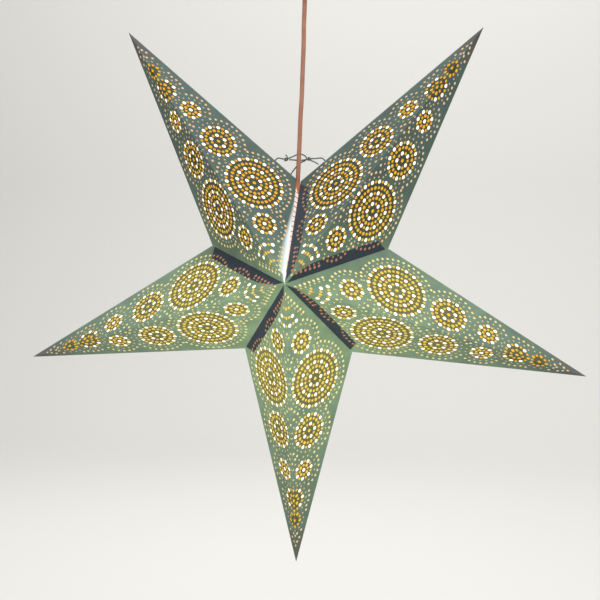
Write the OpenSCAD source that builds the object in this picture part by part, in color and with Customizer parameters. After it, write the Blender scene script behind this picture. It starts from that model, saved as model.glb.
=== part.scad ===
// A five-pointed paper star lantern, hung by its own lead.
// Each point is one folded card with punched rosettes. The points are glued in a ring,
// and the ring closes at the top seam, where the lead comes out between two points.
// The origin is on the ceiling, in the middle of the bracket. The star faces -Y.

/* [Star] */
// Distance from the centre to each tip
tip_radius = 300; // [270:5:360]
// Distance from the centre to each notch
notch_radius = 94; // [88:1:104]
// Depth from the middle fold to the front or back peak
half_depth = 90; // [84:1:110]
// Height of the ceiling above the star's centre
drop = 320; // [300:5:600]
// Sideways shift of the star from the ceiling bracket
star_x = -3; // [-6:1:6]

/* [Card] */
// Thickness of the card
card_t = 0.5; // [0.3:0.1:0.8]
// Thickness of the tissue that lines the card
tissue_t = 0.2; // [0.1:0.1:0.4]
// Width of the glue tabs
tab_w = 12.5; // [8:0.5:14]
// Width of the pinched crease that carries a glue tab
crease_w = 1.5; // [1:0.5:3]
// Slack between the tissue's edge and a crease or tab
tissue_margin = 1; // [0.5:0.5:3]
// Thickness of the glue between card and card, and between card and tissue
glue_t = 0.05; // [0.02:0.01:0.1]
// Small hole that the five cards leave at the front and back peaks
peak_gap = 1.2; // [0.6:0.2:3]

/* [Seam] */
// Opening of the seam at the notch, on the left of the star's middle plane
seam_left = 4.8; // [4.8:0.2:7]
// Opening of the seam at the notch, on the right of the star's middle plane
seam_right = 0.8; // [0.8:0.2:4]
// Width of the flap that leans inwards across the seam
flap_w = 8; // [5:0.5:9]

/* [Punching] */
// Diameter of the large punched dots
dot_d = 4; // [2.4:0.2:4.4]
// Plain border between a dot's middle and the outer fold
plain_edge = 5; // [3:0.5:10]
// Plain border between a dot's middle and the valley fold
plain_valley = 5; // [3:0.5:10]
// Plain length at the tip
plain_tip = 19; // [14:1:40]
// Diameter of the hole for each tie
tie_hole_d = 2.6; // [2.2:0.2:4]

/* [Ties and lead] */
// Diameter of the tie string
tie_d = 1.6; // [1.2:0.1:2]
// Diameter of a knot in the string
knot_d = 4.6; // [3.6:0.2:5.4]
// Distance of each tie hole from the notch, along the outer fold
tie_reach = 33; // [28:1:40]
// Diameter of the lead
lead_d = 4.5; // [4:0.1:4.7]
// Clearance round the lead where it passes a grip
lead_clear = 0.2; // [0.1:0.1:0.5]

/* [Lamp holder] */
// Radius of the holder's shell
holder_r = 15; // [14.6:0.2:17]
// Wall of the holder's shell and cap
holder_wall = 1.6; // [1:0.2:2]
// Length of the holder's shell below its cap
shell_h = 36; // [30:1:40]
// Height of the holder's cap
cap_h = 22; // [20:1:26]
// Length of the shell's spigot inside the cap
spigot_h = 6; // [4:1:8]
// Height of the cap's top above the star's centre
holder_top = 66; // [62:1:67]
// Radius of the grip's nut
grip_r = 6.5; // [6:0.1:7]
// Height of the grip's nut
grip_h = 11; // [8:1:12]
// Radius of the lamp base's thread
base_r = 6.9; // [6.6:0.1:7]
// Radius of the bulb's glass
bulb_r = 22.5; // [18:0.5:28]
// Length of the bulb's neck, from the base to the middle of its ball
neck_h = 27; // [26:1:40]

/* [Ceiling cup] */
// Outer radius of the cup at the ceiling
cup_r = 40; // [34:1:50]
// Outer radius of the cup's flat bottom
cup_bottom_r = 26; // [20:1:30]
// Height of the cup
cup_h = 32; // [26:1:36]
// Wall of the cup
cup_wall = 1.6; // [1:0.2:2.4]
// Width of the bracket
bracket_w = 16; // [12:1:20]
// Thickness of the bracket
bracket_t = 1.5; // [1:0.1:2]
// Distance between the bracket's two ceiling screw holes
screw_spacing = 44; // [36:1:46]
// Radius of the ceiling screw holes
screw_hole_r = 2.2; // [1.8:0.1:2.6]

/* [Hidden] */
$fn = 64;

// Half the angle that one point takes, and the angles of the tips
half_angle = 36;
first_tip = 126;
top_left = 0;
left = 1;
bottom = 2;
right = 3;
top_right = 4;
reach = 2 * tip_radius;

// One facet's corners in its point's own frame: X towards the tip, Z along the facet's side
peak = [0, -half_depth, 0];
tip = [tip_radius, 0, 0];
notch = [notch_radius * cos(half_angle), 0, notch_radius * sin(half_angle)];

function unit(v) = v / norm(v);
ridge = unit(tip - peak);
outward = unit(cross(tip - peak, notch - peak));
across = cross(outward, ridge);
ridge_len = norm(tip - peak);
notch_u = (notch - peak) * ridge;
notch_v = (notch - peak) * across;

// Angle between a facet and the plane between two points, seen along the valley fold
valley_normal = [-sin(half_angle), 0, cos(half_angle)];
valley_cos = outward * valley_normal;
valley_sin = sqrt(1 - valley_cos * valley_cos);
tab_plan_w = tab_w * valley_sin;
tab_start = 9;
tab_bevel = 5;

// Distance that a strip's corner keeps from the ridge near the peak
ridge_clear = 1.5;

// The pinched crease stands back a little from the valley, and the tab laps into it
crease_start = tab_start - 1;
crease_back = glue_t + 0.1;
crease_depth = 3 * card_t;
tab_lap = crease_back + 0.3;

// Angles by which the seam is opened on each side
seam_left_angle = asin(seam_left / notch_radius);
seam_right_angle = asin(seam_right / notch_radius);

// The flap's lean out of the seam's plane. It starts where it passes clear under the folded tab
// and ends short of the lead.
flap_lean = 40;
flap_sink = 0.3 * crease_back;
flap_start = 2.4 * card_t / sin(seam_left_angle + seam_right_angle);
flap_end = notch_radius - 5;
flap_taper = 7;

// The card's rosettes, as [distance along the ridge, distance from it, rings],
// where a ring is [radius, number of dots, angle of the first]
rosettes = [
  [110.3, 34.1, [[0, 1, 0], [7.5, 5, 90], [17.8, 12, 90], [29.3, 20, 90]]],
  [165.2, 24, [[0, 1, 0], [7.4, 5, 90], [17.8, 12, 90]]],
  [207.3, 15.2, [[0, 1, 0], [9.8, 7, 90]]],
  [64.8, 17.9, [[0, 1, 0], [11, 8, 0]]],
  [237.7, 0, [[0, 1, 0], [12.1, 8, 0]]],
  [261.8, 0, [[0, 1, 0], [7.6, 5, 0]]],
  [35.1, 0, [[0, 1, 0], [7.6, 2, 90]]],
  [43.6, 0, [[4.4, 2, 90], [12.2, 2, 96]]]
];

function edge_distance(p, a, b) =
  let (d = unit(b - a)) abs(d[0] * (p[1] - a[1]) - d[1] * (p[0] - a[0]));

function inside_facet(p) =
  p[1] > -dot_d / 2
  && p[0] > 0
  && p[0] < ridge_len - plain_tip
  && (p[0] - notch_u) * notch_v < (ridge_len - notch_u) * (notch_v - p[1])
  && p[1] * notch_u < p[0] * notch_v
  && edge_distance(p, [0, 0], [notch_u, notch_v]) > plain_valley
  && edge_distance(p, [notch_u, notch_v], [ridge_len, 0]) > plain_edge;

facet_dots = [
  for (r = rosettes, ring = r[2], k = [0 : ring[1] - 1])
    let (
      a = ring[2] + 360 * k / ring[1],
      p = [r[0] + ring[0] * cos(a), r[1] + ring[0] * sin(a)]
    )
    if (inside_facet(p)) p
];

// The lamp's axis, as far left of the star's middle plane as the lead is at the notch
lamp_x = -2;
lead_r = lead_d / 2;
lead_hole_r = lead_r + lead_clear;
fit = 0.2;

// Heights above the star's centre
shell_top = holder_top - cap_h;
shell_bottom = shell_top - shell_h;
spigot_top = shell_top + spigot_h;
insert_flange_h = 3;
insert_top = spigot_top + insert_flange_h;
insert_h = 20;
insert_bottom = spigot_top - insert_h;
insert_r = holder_r - 2 * holder_wall - fit;
screw_shell_h = 20;
screw_shell_wall = 0.5;
contact_h = 3;
contact_r = 2.5;
base_tip_h = 3;
base_h = 15;
base_top = insert_bottom - contact_h;
base_bottom = base_top - base_tip_h - base_h;
ball_z = base_bottom - neck_h;
stem_r = 5;
grip_flange_r = 8;
grip_flange_h = 3;

// Heights below the ceiling
block_h = 12;
block_bottom = -bracket_t - block_h;
cup_bottom = -cup_h;
cup_grip_h = 9;

// Cup and bracket
cup_slope = (cup_r - cup_bottom_r) / cup_h;
ear_h = 11;
screw_z = -7;
screw_r = 1.6;
screw_head_r = 3.2;
screw_head_h = 2;
screw_reach = 6;
ear_clear = 0.4;
ear_corner_r = cup_r - cup_wall - cup_slope * ear_h - ear_clear;
bracket_end = sqrt(ear_corner_r * ear_corner_r - bracket_w * bracket_w / 4);

// The lead's route, from the terminal block down to the holder, below the ceiling
lead_route = [
  [0, 0, block_bottom], [0, 0, -22], [0, 0, -30], [0, 0, -42], [0, 0, -56],
  [-0.5, 0, -72], [-0.5, 0, -90], [-1, 0, -108], [-1.5, 0, -126], [-2, 0, -144],
  [-3, 0, -162], [-3.5, 0, -180], [-4, 0, -196], [-4.5, 0, -210], [-5, 0, -222],
  [-5, 0, -234], [-5, 0, -246], [-5, 0, -258], [-5, 0, insert_top - drop]
];

// The ties' routes, measured from the star's centre
tie_left_route = [
  [-28.1, 0, 111.9], [-25.2, 0, 115.3], [-22.2, 0, 117.6], [-18, 0, 117], [-14, 0, 116.5],
  [-9, 0.8, 118.6], [-4.8, 2.6, 120.6], [-1.3, 3.8, 121.7], [2.2, 3.2, 121.2], [4.9, 2.6, 119.8],
  [6, 3.4, 117.6], [4.6, 4.8, 115.6], [1, 5.6, 114], [-3, 5.4, 111], [-7, 5, 106], [-10.6, 4.8, 101]
];
tie_right_route = [
  [28.1, 0, 111.9], [25.2, 0, 115.3], [21.6, 0, 117.8], [16, 0, 117.4], [12, 0, 117.2],
  [9.2, 0, 117], [6.4, 1, 116.4], [2.6, 2.7, 115.9], [-1.3, 3.7, 115.7], [-5, 2.6, 115.8],
  [-8.4, 1.4, 116], [-11, 0.6, 116.1]
];
tie_knots = [[-14.3, 0, 116.3], [9.2, 0, 117]];

// Sweeps a closed tube along a route
function tangent(p, i) =
  unit(p[min(i + 1, len(p) - 1)] - p[max(i - 1, 0)]);
function flatten(n, t) = unit(n - (n * t) * t);
function normals(p, start) = [
  for (i = 0, n = flatten(start, tangent(p, 0)); i < len(p);
    i = i + 1, n = i < len(p) ? flatten(n, tangent(p, i)) : n) n
];

module tube(route, d, sides, start) {
  n = normals(route, start);
  last = len(route) - 1;
  points = [
    for (i = [0 : last], k = [0 : sides - 1])
      let (a = 360 * k / sides, b = cross(tangent(route, i), n[i]))
        route[i] + d / 2 * (cos(a) * n[i] + sin(a) * b)
  ];
  walls = [
    for (i = [0 : last - 1], k = [0 : sides - 1])
      let (m = (k + 1) % sides)
        [i * sides + k, (i + 1) * sides + k, (i + 1) * sides + m, i * sides + m]
  ];
  caps = [[for (k = [0 : sides - 1]) k], [for (k = [sides - 1 : -1 : 0]) last * sides + k]];
  polyhedron(points, concat(walls, caps));
}

// Places things measured from the star's centre, and then from the lamp's axis
module in_star() {
  translate([star_x, 0, -drop]) children();
}

module on_lamp_axis() {
  in_star() translate([lamp_x, 0, 0]) children();
}

module at_point(i) {
  in_star() rotate([0, -(first_tip + i * 2 * half_angle), 0]) children();
}

// A flat region of the front view, in a point's frame, taken back to the middle plane
module front_prism(outline) {
  rotate([90, 0, 0]) linear_extrude(height = half_depth + 1) polygon(outline);
}

// A sheet between two depths below the facet's outer face, cut to an outline
module facet_sheet(depth_a, depth_b, outline, dots) {
  margin = 4;
  intersection() {
    multmatrix([
      [ridge[0], across[0], outward[0], peak[0]],
      [ridge[1], across[1], outward[1], peak[1]],
      [ridge[2], across[2], outward[2], peak[2]]
    ])
      translate([0, 0, -depth_b])
        linear_extrude(height = depth_b - depth_a)
          difference() {
            polygon([
              [-margin, -margin], [ridge_len + margin, -margin],
              [ridge_len + margin, margin], [notch_u, notch_v + margin],
              [notch_u - margin, notch_v + margin], [-margin, margin]
            ]);
            for (p = dots)
              translate(p) circle(d = dot_d, $fn = 6);
          }
    front_prism(outline);
  }
}

// A point of the front view, at a distance along the valley and a distance in from it
function valley_point(r, w, a) = [r * cos(a) + w * sin(a), r * sin(a) - w * cos(a)];

function sector_outline(a) = [
  [peak_gap, 0], [reach, 0], valley_point(reach, glue_t, a), valley_point(peak_gap, glue_t, a)
];

function strip_outline(start, near, far, bevel, a) = [
  valley_point(start, near, a), valley_point(notch_radius - start, near, a),
  valley_point(notch_radius - start - bevel, far, a),
  valley_point(max(start + bevel, (far + ridge_clear) / tan(a)), far, a)
];

function tissue_outline(m, a) =
  let (far = tip_radius - plain_tip)
    [[m / sin(a), 0], [far, 0], [far, far * tan(a) - m / cos(a)]];

// Front and back of one side of a point
module both_faces() {
  children();
  mirror([0, 1, 0]) children();
}

module point_side(a) {
  both_faces() facet_sheet(0, card_t, sector_outline(a), facet_dots);
}

module glue_tab(a) {
  depth = card_t + glue_t;
  outline = strip_outline(tab_start, -tab_lap, tab_plan_w, tab_bevel, a);
  both_faces() facet_sheet(depth, depth + card_t, outline, []);
}

module crease(a) {
  outline = strip_outline(crease_start, crease_back, crease_w * valley_sin, 0, a);
  both_faces() facet_sheet(card_t / 2, crease_depth, outline, []);
}

// The last point's tab, folded back under its own card at the seam
module seam_hem(a) {
  outline = strip_outline(tab_start, crease_back, tab_plan_w, tab_bevel, a);
  both_faces() facet_sheet(card_t / 2, 2 * card_t, outline, []);
}

// The first point's flap leans inwards across the seam, so the lamp lights its face
module seam_flap(a) {
  slope = -(outward[0] * cos(a) + outward[2] * sin(a)) / outward[1];
  stretch = norm([1, slope]);
  line = [cos(a), slope, sin(a)] / stretch;
  side = [-sin(a), 0, cos(a)];
  inward = cross(side, line);
  lean = cos(flap_lean) * inward + sin(flap_lean) * side;
  face = cross(line, lean);
  foot = peak + flap_sink * inward - crease_back * side;
  both_faces() multmatrix([
    [line[0], lean[0], face[0], foot[0]],
    [line[1], lean[1], face[1], foot[1]],
    [line[2], lean[2], face[2], foot[2]]
  ])
    translate([0, 0, -card_t]) linear_extrude(height = card_t) polygon([
      [flap_start * stretch, 0], [flap_end * stretch, 0],
      [(flap_end - flap_taper) * stretch, flap_w], [flap_start * stretch + flap_w / 2, flap_w]
    ]);
}

module tie_hole() {
  along = unit([tip[0] - notch[0], tip[2] - notch[2]]);
  place = [notch[0], notch[2]] + tie_reach * along;
  angle = atan2(along[1], along[0]);
  translate([place[0], 0, place[1]])
    rotate([0, -angle, 0])
      translate([0, 0, -2 * tie_hole_d])
        cylinder(h = 4 * tie_hole_d, d = tie_hole_d, $fn = 8);
}

module tie_hole_of(i) {
  if (i == top_right) tie_hole();
  if (i == top_left) mirror([0, 0, 1]) tie_hole();
}

// Half angles on the side of the point that comes next in the ring, and of the one before
function next_angle(i) = i == top_right ? half_angle - seam_right_angle : half_angle;
function last_angle(i) = i == top_left ? half_angle - seam_left_angle : half_angle;

module card_point(i, colour) {
  color(colour) at_point(i) difference() {
    union() {
      point_side(next_angle(i));
      mirror([0, 0, 1]) point_side(last_angle(i));
      if (i == top_right) {
        seam_hem(next_angle(i));
      } else {
        if (i == top_left) mirror([0, 0, 1]) seam_flap(last_angle(i));
        crease(half_angle);
        rotate([0, -2 * half_angle, 0]) mirror([0, 0, 1]) glue_tab(half_angle);
      }
    }
    tie_hole_of(i);
  }
}

module tissue_side(m, a) {
  depth = card_t + glue_t;
  both_faces() facet_sheet(depth, depth + tissue_t, tissue_outline(m, a), []);
}

module tissue_point(i) {
  wide = tab_plan_w + tissue_margin;
  narrow = crease_w * valley_sin + tissue_margin;
  color("lemonchiffon") at_point(i) difference() {
    union() {
      tissue_side(i == top_right ? wide : narrow, next_angle(i));
      mirror([0, 0, 1]) tissue_side(i == top_left ? narrow : wide, last_angle(i));
    }
    tie_hole_of(i);
  }
}

module point_top_left() {
  card_point(top_left, "cadetblue");
}

module point_left() {
  card_point(left, "darkseagreen");
}

module point_bottom() {
  card_point(bottom, "darkseagreen");
}

module point_right() {
  card_point(right, "darkseagreen");
}

module point_top_right() {
  card_point(top_right, "cadetblue");
}

module tissue_top_left() {
  tissue_point(top_left);
}

module tissue_left() {
  tissue_point(left);
}

module tissue_bottom() {
  tissue_point(bottom);
}

module tissue_right() {
  tissue_point(right);
}

module tissue_top_right() {
  tissue_point(top_right);
}

module tie(route, knot) {
  color("slategray") in_star() {
    tube(route, tie_d, 8, [0, 1, 0]);
    for (place = [route[0], knot]) translate(place) sphere(d = knot_d, $fn = 12);
  }
}

module tie_left() {
  tie(tie_left_route, tie_knots[0]);
}

module tie_right() {
  tie(tie_right_route, tie_knots[1]);
}

module lead() {
  color("rosybrown") tube(lead_route, lead_d, 10, [0, 1, 0]);
}

// The lead's grip: a flange inside the cap, a stem through its hole and a nut on top
module holder_grip() {
  color("whitesmoke") on_lamp_axis() difference() {
    union() {
      translate([0, 0, holder_top - holder_wall - grip_flange_h])
        cylinder(h = grip_flange_h, r = grip_flange_r);
      translate([0, 0, holder_top - holder_wall]) cylinder(h = holder_wall, r = stem_r);
      translate([0, 0, holder_top]) cylinder(h = grip_h, r = grip_r, $fn = 12);
    }
    translate([0, 0, insert_top]) cylinder(h = holder_top + grip_h, r = lead_hole_r);
  }
}

module holder_cap() {
  crown = 5;
  color("whitesmoke") on_lamp_axis() rotate_extrude() difference() {
    polygon([
      [0, shell_top], [holder_r, shell_top], [holder_r, holder_top - crown],
      [holder_r - crown, holder_top], [0, holder_top]
    ]);
    polygon([
      [0, shell_top - 1], [holder_r - holder_wall, shell_top - 1],
      [holder_r - holder_wall, holder_top - crown - holder_wall / 2],
      [holder_r - crown - holder_wall / 2, holder_top - holder_wall], [0, holder_top - holder_wall]
    ]);
    translate([0, holder_top - 2 * holder_wall]) square([stem_r + fit, 3 * holder_wall]);
  }
}

module holder_shell() {
  inner_r = holder_r - holder_wall;
  spigot_r = inner_r - fit;
  ledge_r = holder_r - 2 * holder_wall;
  color("whitesmoke") on_lamp_axis() rotate_extrude() polygon([
    [inner_r, shell_bottom], [holder_r, shell_bottom], [holder_r, shell_top],
    [spigot_r, shell_top], [spigot_r, spigot_top], [ledge_r, spigot_top],
    [ledge_r, insert_bottom], [inner_r, insert_bottom - holder_wall]
  ]);
}

module holder_insert() {
  color("ivory") on_lamp_axis() rotate_extrude() polygon([
    [0, insert_bottom], [insert_r, insert_bottom], [insert_r, spigot_top],
    [holder_r - holder_wall - 2 * fit, spigot_top], [holder_r - holder_wall - 2 * fit, insert_top],
    [0, insert_top]
  ]);
}

module lamp_screw_shell() {
  inner_r = base_r + fit;
  outer_r = inner_r + screw_shell_wall;
  low = insert_bottom - screw_shell_h;
  color("goldenrod") on_lamp_axis() rotate_extrude() polygon([
    [inner_r, low], [outer_r, low], [outer_r, insert_bottom], [contact_r + 2, insert_bottom],
    [contact_r + 2, insert_bottom - screw_shell_wall], [inner_r, insert_bottom - screw_shell_wall]
  ]);
}

module lamp_contact() {
  color("goldenrod") on_lamp_axis()
    translate([0, 0, base_top]) cylinder(h = contact_h, r = contact_r);
}

// The frosted bulb is sealed, so it is one solid with its base
module bulb() {
  color("white") on_lamp_axis() rotate_extrude() union() {
    translate([0, ball_z]) intersection() {
      circle(r = bulb_r);
      translate([0, -bulb_r]) square([bulb_r, 2 * bulb_r]);
    }
    polygon([
      [0, ball_z], [bulb_r * cos(50), ball_z + bulb_r * sin(50)],
      [base_r + 2, base_bottom - 4], [base_r, base_bottom],
      [base_r, base_top - base_tip_h], [contact_r, base_top], [0, base_top]
    ]);
  }
}

// A cone-shaped cup, open to the ceiling, with holes for its grip and its two screws
module ceiling_cup() {
  inner_bottom_r = cup_bottom_r - cup_wall;
  color("whitesmoke") difference() {
    rotate_extrude() polygon([
      [stem_r + fit, cup_bottom], [cup_bottom_r, cup_bottom], [cup_r, 0], [cup_r - cup_wall, 0],
      [inner_bottom_r + cup_slope * cup_wall, cup_bottom + cup_wall],
      [stem_r + fit, cup_bottom + cup_wall]
    ]);
    for (side = [0, 180])
      rotate([0, 0, side]) translate([0, 0, screw_z])
        rotate([0, 90, 0]) cylinder(h = cup_r, r = screw_r + fit, $fn = 12);
  }
}

// A flat bar under the ceiling with two ears that the cup is screwed to
module ceiling_bracket() {
  color("silver") difference() {
    union() {
      translate([-bracket_end, -bracket_w / 2, -bracket_t])
        cube([2 * bracket_end, bracket_w, bracket_t]);
      for (side = [-1, 1])
        translate([side * (bracket_end - bracket_t / 2) - bracket_t / 2, -bracket_w / 2, -ear_h])
          cube([bracket_t, bracket_w, ear_h]);
    }
    for (side = [-1, 1])
      translate([side * screw_spacing / 2, 0, -2 * bracket_t])
        cylinder(h = 3 * bracket_t, r = screw_hole_r);
    for (side = [0, 180])
      rotate([0, 0, side]) translate([0, 0, screw_z])
        rotate([0, 90, 0]) cylinder(h = cup_r, r = screw_r, $fn = 12);
  }
}

module cup_screws() {
  seat = cup_r + cup_slope * screw_z;
  color("silver")
    for (side = [0, 180])
      rotate([0, 0, side]) translate([seat + cup_slope * screw_head_r, 0, screw_z])
        rotate([0, 90, 0]) {
          cylinder(h = screw_head_h, r = screw_head_r);
          translate([0, 0, -screw_reach]) cylinder(h = screw_reach, r = screw_r - 0.1, $fn = 12);
        }
}

// The cup's grip for the lead, made like the holder's, upside down
module cup_grip() {
  color("whitesmoke") difference() {
    union() {
      translate([0, 0, cup_bottom + cup_wall]) cylinder(h = grip_flange_h, r = grip_flange_r);
      translate([0, 0, cup_bottom]) cylinder(h = cup_wall, r = stem_r);
      translate([0, 0, cup_bottom - cup_grip_h]) cylinder(h = cup_grip_h, r = grip_r, $fn = 12);
    }
    translate([0, 0, cup_bottom - 2 * cup_grip_h])
      cylinder(h = 2 * cup_grip_h + cup_h / 2, r = lead_hole_r);
  }
}

module terminal_block() {
  block = [22, 14, block_h];
  well_d = 3.2;
  well_depth = 5;
  color("ivory") translate([0, 0, block_bottom]) difference() {
    translate([-block[0] / 2, -block[1] / 2, 0]) cube(block);
    for (x = [-block[0] / 4, block[0] / 4])
      translate([x, -block[1] / 2 - 1, block_h / 2])
        rotate([-90, 0, 0]) cylinder(h = well_depth + 1, d = well_d, $fn = 12);
  }
}

point_top_left();
point_left();
point_bottom();
point_right();
point_top_right();
tissue_top_left();
tissue_left();
tissue_bottom();
tissue_right();
tissue_top_right();
tie_left();
tie_right();
lead();
holder_grip();
holder_cap();
holder_shell();
holder_insert();
lamp_screw_shell();
lamp_contact();
bulb();
ceiling_cup();
ceiling_bracket();
cup_grip();
cup_screws();
terminal_block();
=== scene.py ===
# %% [markdown]
# A paper star lantern in Blender.
# The star has five points. Each point is one folded card, punched with hundreds of small dots in rosettes,
# and lined with thin tissue that glows white, amber and peach when the lamp inside is lit.
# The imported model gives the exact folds, the lamp holder and the ceiling fitting. This script dresses it:
# it punches every dot as a real hole, lays the tissue behind, and gives each surface its finish.

# %% Load the frame
import math

import bpy
import numpy as np
from mathutils import Matrix, Vector
from mathutils.geometry import delaunay_2d_cdt, tessellate_polygon
from mathutils.kdtree import KDTree


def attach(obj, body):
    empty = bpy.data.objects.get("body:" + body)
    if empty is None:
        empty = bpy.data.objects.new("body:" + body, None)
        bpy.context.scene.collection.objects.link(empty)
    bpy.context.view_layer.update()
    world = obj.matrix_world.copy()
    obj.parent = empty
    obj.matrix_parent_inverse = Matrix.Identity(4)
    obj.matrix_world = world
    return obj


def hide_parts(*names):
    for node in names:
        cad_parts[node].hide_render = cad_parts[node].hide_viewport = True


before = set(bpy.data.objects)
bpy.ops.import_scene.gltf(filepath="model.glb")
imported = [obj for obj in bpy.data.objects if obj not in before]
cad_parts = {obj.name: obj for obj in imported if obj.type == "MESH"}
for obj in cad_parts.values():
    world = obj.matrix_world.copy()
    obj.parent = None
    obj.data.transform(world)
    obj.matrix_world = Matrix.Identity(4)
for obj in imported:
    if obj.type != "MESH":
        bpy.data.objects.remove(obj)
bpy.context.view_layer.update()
MM = 0.001
print("nodes in the frame:", len(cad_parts))

# %% [markdown]
# The camera comes first, because everything is judged through it. The lantern hangs a little above eye level
# of a viewer who stands slightly to its right, so the camera is turned by three small angles.
# Its position is given from the ceiling bracket, which is the origin of the frame.

# %% The camera
YAW, PITCH, ROLL = math.radians(8.252), math.radians(6.225), math.radians(0.570)
EYE = Vector((135.75, -947.5, -240.2)) * MM
PICTURE = 600
FOCAL_PIXELS = 950.3424
SENSOR = 36.0

forward = Vector((-math.sin(YAW) * math.cos(PITCH), math.cos(YAW) * math.cos(PITCH), -math.sin(PITCH)))
level = Vector((math.cos(YAW), math.sin(YAW), 0.0))
upward = level.cross(forward)
right_side = level * math.cos(ROLL) + upward * math.sin(ROLL)
top_side = upward * math.cos(ROLL) - level * math.sin(ROLL)

camera_data = bpy.data.cameras.new("camera")
camera_data.sensor_width = SENSOR
camera_data.lens = SENSOR * FOCAL_PIXELS / PICTURE
camera = bpy.data.objects.new("camera", camera_data)
bpy.context.scene.collection.objects.link(camera)
camera.matrix_world = Matrix.Translation(EYE) @ Matrix((right_side, top_side, -forward)).transposed().to_4x4()
bpy.context.scene.camera = camera
print("camera lens", round(camera_data.lens, 2), "mm")

# %% [markdown]
# Three helpers make every piece. One turns a list of points and faces into an object that rides on the
# lantern's body, takes its finishes and hides the imported nodes that it stands for. The other two write
# colours the way they look on a screen, and turn them into the light values that Blender works with.


# %% Helpers for pieces and colours
def make_piece(name, points, faces, materials, nodes, face_materials=None, smooth=False):
    mesh = bpy.data.meshes.new(name)
    mesh.from_pydata([tuple(p) for p in points], [], [tuple(int(i) for i in f) for f in faces])
    for material in materials:
        mesh.materials.append(material)
    if face_materials is not None:
        mesh.polygons.foreach_set("material_index", np.asarray(face_materials, np.int32))
    mesh.polygons.foreach_set("use_smooth", np.full(len(mesh.polygons), smooth))
    mesh.update()
    piece = bpy.data.objects.new(name, mesh)
    bpy.context.scene.collection.objects.link(piece)
    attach(piece, "root")
    if nodes:
        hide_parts(*nodes)
    return piece


def linear(value):
    value = value / 255
    return value / 12.92 if value <= 0.04045 else ((value + 0.055) / 1.055) ** 2.4


def tint(red, green, blue):
    return (linear(red), linear(green), linear(blue), 1.0)


def remember(piece, name, values):
    layer = piece.data.attributes.new(name, "FLOAT", "POINT")
    layer.data.foreach_set("value", np.asarray(values, np.float32))


# %% [markdown]
# Materials are built from nodes, so two small helpers keep the wiring short: one sets or links a socket,
# and the other adds a math node. Each effect that several finishes share is a node group.
# The first shared effect is paper grain: fine fibres over a soft, cloudy mottling.


# %% Helpers for nodes
def wire(tree, socket, value):
    if isinstance(value, bpy.types.NodeSocket):
        tree.links.new(value, socket)
    else:
        socket.default_value = value


def calc(tree, operation, first, second=0.0, clamp=False):
    node = tree.nodes.new("ShaderNodeMath")
    node.operation = operation
    node.use_clamp = clamp
    wire(tree, node.inputs[0], first)
    wire(tree, node.inputs[1], second)
    return node.outputs[0]


def mix_colours(tree, factor, first, second):
    node = tree.nodes.new("ShaderNodeMix")
    node.data_type = "RGBA"
    wire(tree, node.inputs[0], factor)
    wire(tree, node.inputs[6], first)
    wire(tree, node.inputs[7], second)
    return node.outputs[2]


def fade(tree, value, start, end):
    node = tree.nodes.new("ShaderNodeMapRange")
    node.interpolation_type = "SMOOTHSTEP"
    wire(tree, node.inputs[0], value)
    wire(tree, node.inputs[1], start)
    wire(tree, node.inputs[2], end)
    return node.outputs[0]


def noise(tree, place, scale, detail=2.0):
    node = tree.nodes.new("ShaderNodeTexNoise")
    wire(tree, node.inputs["Vector"], place)
    wire(tree, node.inputs["Scale"], scale)
    node.inputs["Detail"].default_value = detail
    return node.outputs["Fac"]


def own_place(tree):
    return tree.nodes.new("ShaderNodeTexCoord").outputs["Object"]


def attribute(tree, name):
    node = tree.nodes.new("ShaderNodeAttribute")
    node.attribute_name = name
    return node.outputs["Fac"]


def new_group(name, inputs, outputs):
    tree = bpy.data.node_groups.new(name, "ShaderNodeTree")
    for label, kind, value in inputs:
        socket = tree.interface.new_socket(label, in_out="INPUT", socket_type=kind)
        socket.default_value = value
    for label, kind in outputs:
        tree.interface.new_socket(label, in_out="OUTPUT", socket_type=kind)
    return tree, tree.nodes.new("NodeGroupInput").outputs, tree.nodes.new("NodeGroupOutput").inputs


def use_group(tree, group, **values):
    node = tree.nodes.new("ShaderNodeGroup")
    node.node_tree = group
    for label, value in values.items():
        wire(tree, node.inputs[label.replace("_", " ")], value)
    return node.outputs


# %% Shared effect: paper grain
NUMBER = "NodeSocketFloat"

paper_grain, given, result = new_group(
    "paper_grain",
    [("Fibre scale", NUMBER, 1400.0), ("Mottle scale", NUMBER, 45.0)],
    [("Height", NUMBER), ("Tone", NUMBER)],
)
fibres = noise(paper_grain, own_place(paper_grain), given["Fibre scale"], 3.0)
cloud = noise(paper_grain, own_place(paper_grain), given["Mottle scale"], 4.0)
half_fibres = calc(paper_grain, "MULTIPLY", fibres, 0.5)
both = calc(paper_grain, "ADD", half_fibres, calc(paper_grain, "MULTIPLY", cloud, 0.5))
wire(paper_grain, result["Height"], fibres)
wire(paper_grain, result["Tone"], both)
print("made the paper grain group")

# %% [markdown]
# The second shared effect is the lamp. Paper near the bulb is lit through, and paper far out at the tips
# is hardly lit at all. The group measures how far a spot is from the bulb and fades from one to nothing.
# The lamp holder shades what is above it, so spots above the bulb are dimmed.

# %% Shared effect: the lamp's glow
LAMP = Vector((-5.0, 0.0, -338.0)) * MM

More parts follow.
